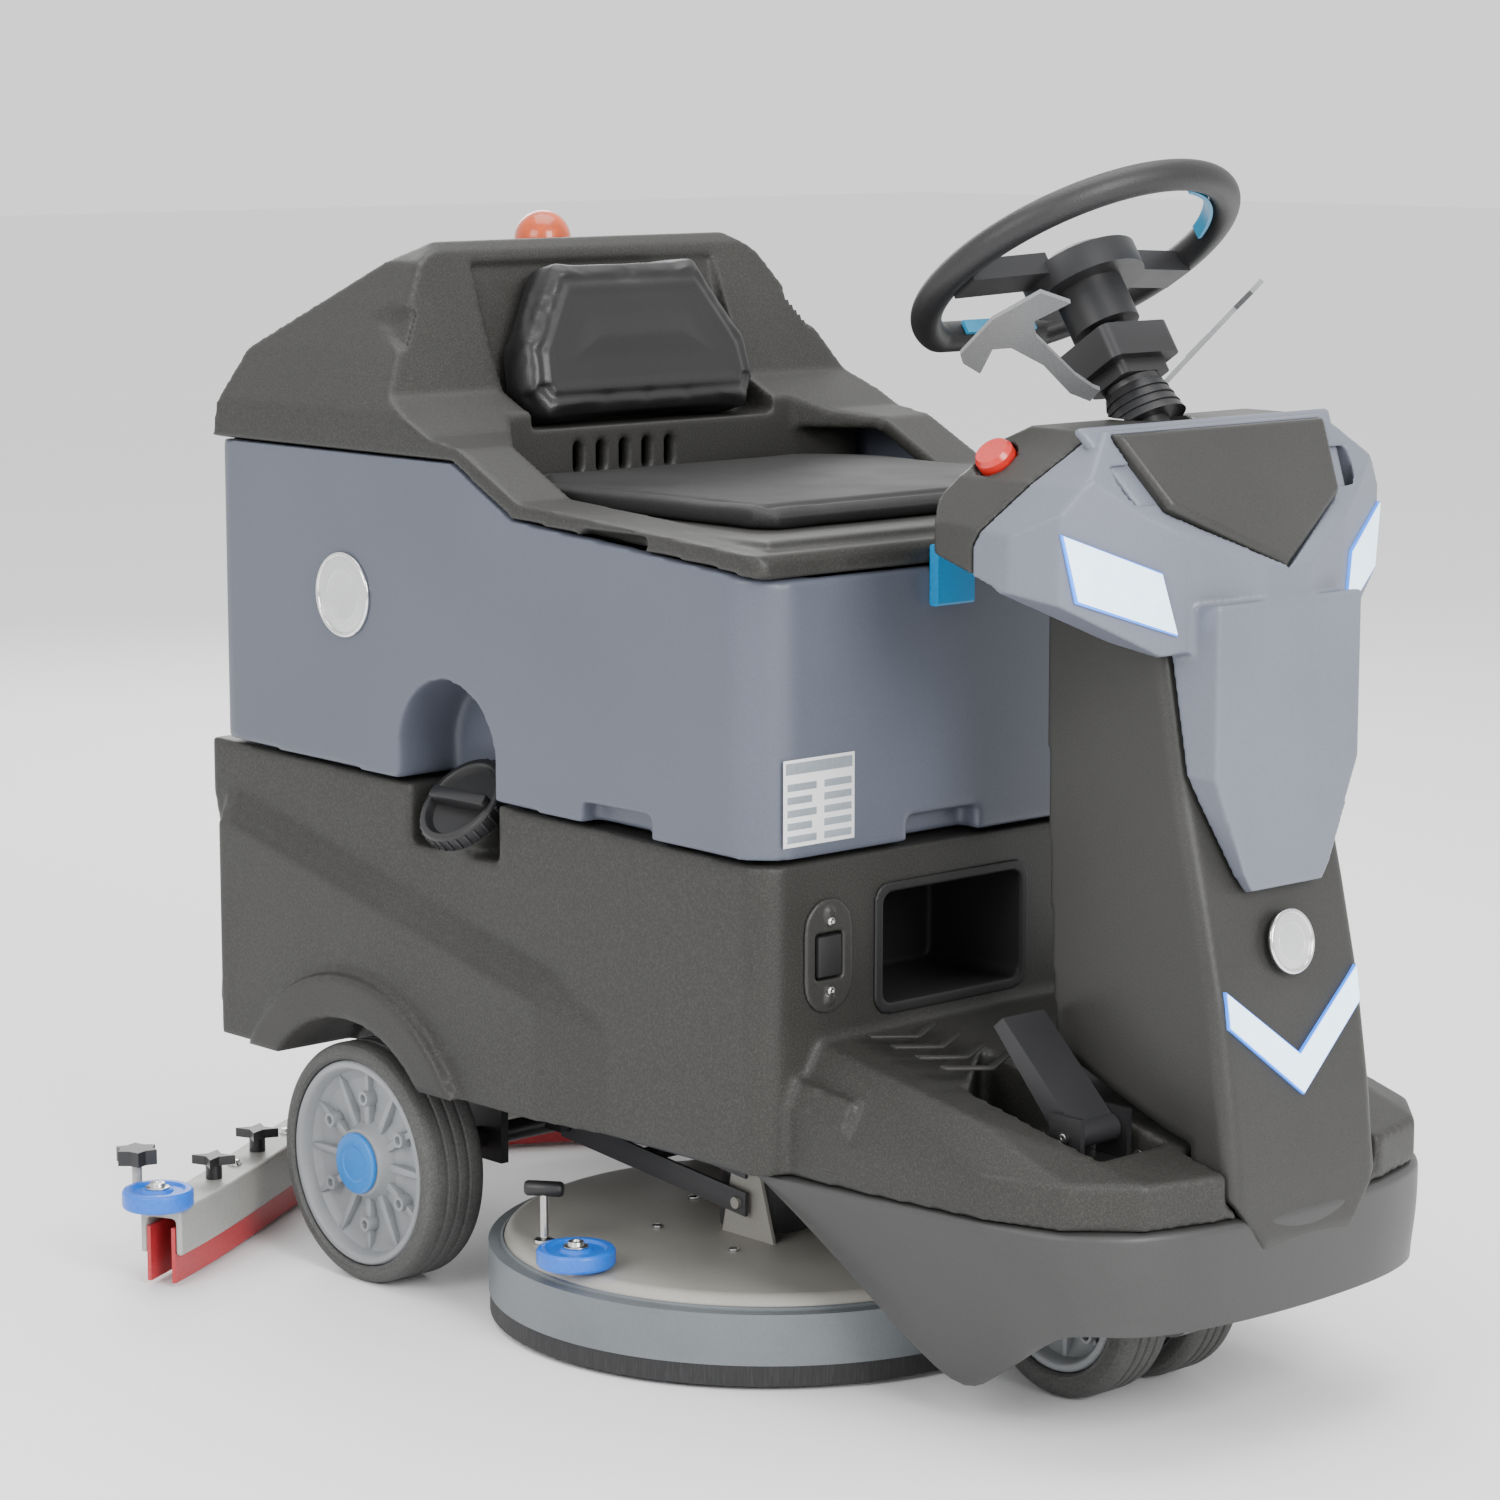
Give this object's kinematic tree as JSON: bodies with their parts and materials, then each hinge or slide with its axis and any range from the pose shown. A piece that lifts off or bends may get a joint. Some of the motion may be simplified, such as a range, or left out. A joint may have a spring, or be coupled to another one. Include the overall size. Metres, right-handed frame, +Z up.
{
  "type": "ride-on floor scrubber",
  "caption": "Ride-on floor scrubber with a seated operator's tank body, a steered drive truck, a disc brush deck on lift arms and a trailing swept squeegee",
  "frame": {"origin": "on the floor, under the centre of the bounding box", "axes": "+X forward, the way the machine drives; +Y to the operator's left; +Z up"},
  "size_m": [1.46, 1.088, 1.1984],
  "materials": {
    "body_grey": "textured rotomoulded",
    "tank_grey": "satin rotomoulded",
    "bumper_black": "fine grain",
    "black_plastic": "satin",
    "frame_steel": "powder coat",
    "battery_case": "matt",
    "cast_grey": "as cast",
    "motor_black": "satin",
    "tyre_black": "matt",
    "rim_grey": "satin",
    "cap_blue": "gloss",
    "wheel_black": "matt grip",
    "insert_blue": "satin",
    "steel_bright": "brushed",
    "paddle_grey": "satin",
    "cushion_black": "soft grained",
    "pad_black": "soft",
    "beacon_orange": "translucent",
    "lamp_white": "frosted",
    "stop_red": "gloss",
    "dash_black": "gloss",
    "deck_cream": "satin",
    "skirt_grey": "satin",
    "bristle_black": "fibre",
    "brush_blue": "fibre",
    "roller_blue": "satin",
    "alloy_cast": "cast",
    "blade_red": "satin",
    "knob_black": "satin"
  },
  "bodies": {
    "frame": {"chassis_frame": "frame_steel", "lower_body": "body_grey", "front_bumper": "bumper_black", "column_cover": "body_grey", "console_housing": "black_plastic", "console_cover": "body_grey", "front_fascia": "tank_grey", "headlight_lenses": "lamp_white", "chevron_lamp": "lamp_white", "storage_bin": "body_grey", "charge_socket": "body_grey", "batteries": "battery_case", "motor_controller": "cast_grey", "steering_column": "frame_steel", "column_clamp": "black_plastic", "steering_bellows": "wheel_black", "dash_panel": "dash_black", "pedal_bracket": "black_plastic"},
    "steering_wheel": {"steering_boss": "knob_black", "steering_rim": "wheel_black", "rim_inserts": "insert_blue"},
    "drive_truck": {"steer_fork": "frame_steel", "drive_motor": "motor_black"},
    "drive_wheel_left": {"drive_wheel_left": "tyre_black"},
    "drive_wheel_right": {"drive_wheel_right": "tyre_black"},
    "rear_wheel_left": {"rear_tyre_left": "tyre_black", "rear_rim_left": "rim_grey", "hub_cap_left": "cap_blue"},
    "rear_wheel_right": {"rear_tyre_right": "tyre_black", "rear_rim_right": "rim_grey", "hub_cap_right": "cap_blue"},
    "paddle_left": {"paddle_left": "paddle_grey"},
    "paddle_right": {"paddle_right": "paddle_grey"},
    "tank": {"recovery_tank": "tank_grey"},
    "tank_latch": {"tank_latch": "cap_blue"},
    "seat": {"seat_housing": "body_grey", "seat_pad": "pad_black", "backrest_cushion": "cushion_black", "beacon_dome": "beacon_orange", "vacuum_motor": "motor_black"},
    "lift_arm_lower": {"lift_arm_lower": "frame_steel"},
    "lift_arm_upper": {"lift_arm_upper": "frame_steel"},
    "deck": {"deck_housing": "deck_cream", "deck_skirt": "skirt_grey", "skirt_bristles": "bristle_black", "brush_motor": "motor_black"},
    "scrub_brush": {"scrub_brush": "brush_blue"},
    "deck_roller": {"deck_roller": "roller_blue"},
    "squeegee_arm": {"squeegee_arm": "frame_steel"},
    "squeegee": {"squeegee_body": "alloy_cast", "squeegee_blades": "blade_red", "blade_knobs": "knob_black"},
    "end_roller_left": {"end_roller_left": "roller_blue"},
    "end_roller_right": {"end_roller_right": "roller_blue"},
    "height_knob_left": {"height_knob_left": "knob_black"},
    "height_knob_right": {"height_knob_right": "knob_black"},
    "accelerator": {"accelerator_pedal": "black_plastic"},
    "emergency_stop": {"emergency_stop": "stop_red"},
    "key_switch": {"key_switch": "black_plastic"},
    "fill_cap": {"fill_cap": "black_plastic"}
  },
  "joints": [
    {"name": "steering_turn", "type": "hinge", "parent": "frame", "child": "steering_wheel", "pos_m": [0.413, 0, 1.099], "axis": [-0.5446, 0, 0.8387], "range_deg": [-225, 225]},
    {"name": "truck_steer", "type": "hinge", "parent": "frame", "child": "drive_truck", "pos_m": [0.52, 0, 0.21], "axis": [0, 0, 1], "range_deg": [-75, 75]},
    {"name": "drive_roll_left", "type": "hinge", "parent": "drive_truck", "child": "drive_wheel_left", "pos_m": [0.478, 0.051, 0.1], "axis": [0, 1, 0], "continuous": true},
    {"name": "drive_roll_right", "type": "hinge", "parent": "drive_truck", "child": "drive_wheel_right", "pos_m": [0.478, -0.051, 0.1], "axis": [0, 1, 0], "continuous": true},
    {"name": "rear_roll_left", "type": "hinge", "parent": "frame", "child": "rear_wheel_left", "pos_m": [-0.3, 0.304, 0.13], "axis": [0, 1, 0], "continuous": true},
    {"name": "rear_roll_right", "type": "hinge", "parent": "frame", "child": "rear_wheel_right", "pos_m": [-0.3, -0.304, 0.13], "axis": [0, 1, 0], "continuous": true},
    {"name": "paddle_pull_left", "type": "hinge", "parent": "frame", "child": "paddle_left", "pos_m": [0.493, 0.046, 0.984], "axis": [0.7664, 0, 0.6423], "range_deg": [0, 10], "stiffness_Nm_per_rad": 1.5},
    {"name": "paddle_pull_right", "type": "hinge", "parent": "frame", "child": "paddle_right", "pos_m": [0.493, -0.046, 0.984], "axis": [-0.7664, 0, -0.6423], "range_deg": [0, 10], "stiffness_Nm_per_rad": 1.5},
    {"name": "tank_tip", "type": "hinge", "parent": "frame", "child": "tank", "pos_m": [-0.548, 0, 0.3], "axis": [0, -1, 0], "range_deg": [0, 30]},
    {"name": "latch_turn", "type": "hinge", "parent": "tank", "child": "tank_latch", "pos_m": [0.337, -0.088, 0.768], "axis": [0, 1, 0], "range_deg": [0, 100]},
    {"name": "seat_tip", "type": "hinge", "parent": "tank", "child": "seat", "pos_m": [-0.545, 0, 0.575], "axis": [0, -1, 0], "range_deg": [0, 30]},
    {"name": "lift_lower", "type": "hinge", "parent": "frame", "child": "lift_arm_lower", "pos_m": [-0.18, -0.078, 0.16], "axis": [0, -1, 0], "range_deg": [0, 4]},
    {"name": "lift_upper", "type": "hinge", "parent": "frame", "child": "lift_arm_upper", "pos_m": [-0.18, -0.078, 0.2], "axis": [0, -1, 0], "range_deg": [0, 4]},
    {"name": "deck_level", "type": "hinge", "parent": "lift_arm_lower", "child": "deck", "pos_m": [0.09, -0.078, 0.13], "axis": [0, -1, 0], "range_deg": [-4, 0]},
    {"name": "brush_spin", "type": "hinge", "parent": "deck", "child": "scrub_brush", "pos_m": [0.063, -0.078, 0.06], "axis": [0, 0, 1], "continuous": true},
    {"name": "deck_roller_spin", "type": "hinge", "parent": "deck", "child": "deck_roller", "pos_m": [0.063, -0.34, 0.105], "axis": [0, 0, 1], "continuous": true},
    {"name": "squeegee_lift", "type": "hinge", "parent": "frame", "child": "squeegee_arm", "pos_m": [-0.438, 0, 0.178], "axis": [0, 1, 0], "range_deg": [0, 12]},
    {"name": "squeegee_swing", "type": "hinge", "parent": "squeegee_arm", "child": "squeegee", "pos_m": [-0.64, 0, 0.12], "axis": [0, 0, 1], "range_deg": [-6, 6]},
    {"name": "end_roller_spin_left", "type": "hinge", "parent": "squeegee", "child": "end_roller_left", "pos_m": [-0.43, 0.506, 0.097], "axis": [0, 0, 1], "continuous": true},
    {"name": "end_roller_spin_right", "type": "hinge", "parent": "squeegee", "child": "end_roller_right", "pos_m": [-0.43, -0.506, 0.097], "axis": [0, 0, 1], "continuous": true},
    {"name": "height_knob_turn_left", "type": "hinge", "parent": "squeegee", "child": "height_knob_left", "pos_m": [-0.48, 0.498, 0.13], "axis": [0, 0, 1], "range_deg": [-170, 170]},
    {"name": "height_knob_turn_right", "type": "hinge", "parent": "squeegee", "child": "height_knob_right", "pos_m": [-0.48, -0.498, 0.13], "axis": [0, 0, 1], "range_deg": [-170, 170]},
    {"name": "pedal_press", "type": "hinge", "parent": "frame", "child": "accelerator", "pos_m": [0.588, -0.152, 0.3], "axis": [0, -1, 0], "range_deg": [0, 12], "stiffness_Nm_per_rad": 6},
    {"name": "stop_push", "type": "slide", "parent": "frame", "child": "emergency_stop", "axis": [0, 0.6574, -0.7535], "range_m": [0, 0.004], "stiffness_N_per_m": 2000},
    {"name": "key_turn", "type": "hinge", "parent": "frame", "child": "key_switch", "pos_m": [0.4457, -0.066, 0.87], "axis": [-0.9724, 0, 0.2334], "range_deg": [0, 90]},
    {"name": "fill_cap_turn", "type": "hinge", "parent": "frame", "child": "fill_cap", "pos_m": [-0.145, -0.302, 0.528], "axis": [0, -0.722, 0.6919], "range_deg": [0, 90]}
  ],
  "couplings": [
    {"joint": "truck_steer", "follows": "steering_turn", "ratio": 0.33333},
    {"joint": "lift_upper", "follows": "lift_lower", "ratio": 1},
    {"joint": "deck_level", "follows": "lift_lower", "ratio": -1}
  ]
}
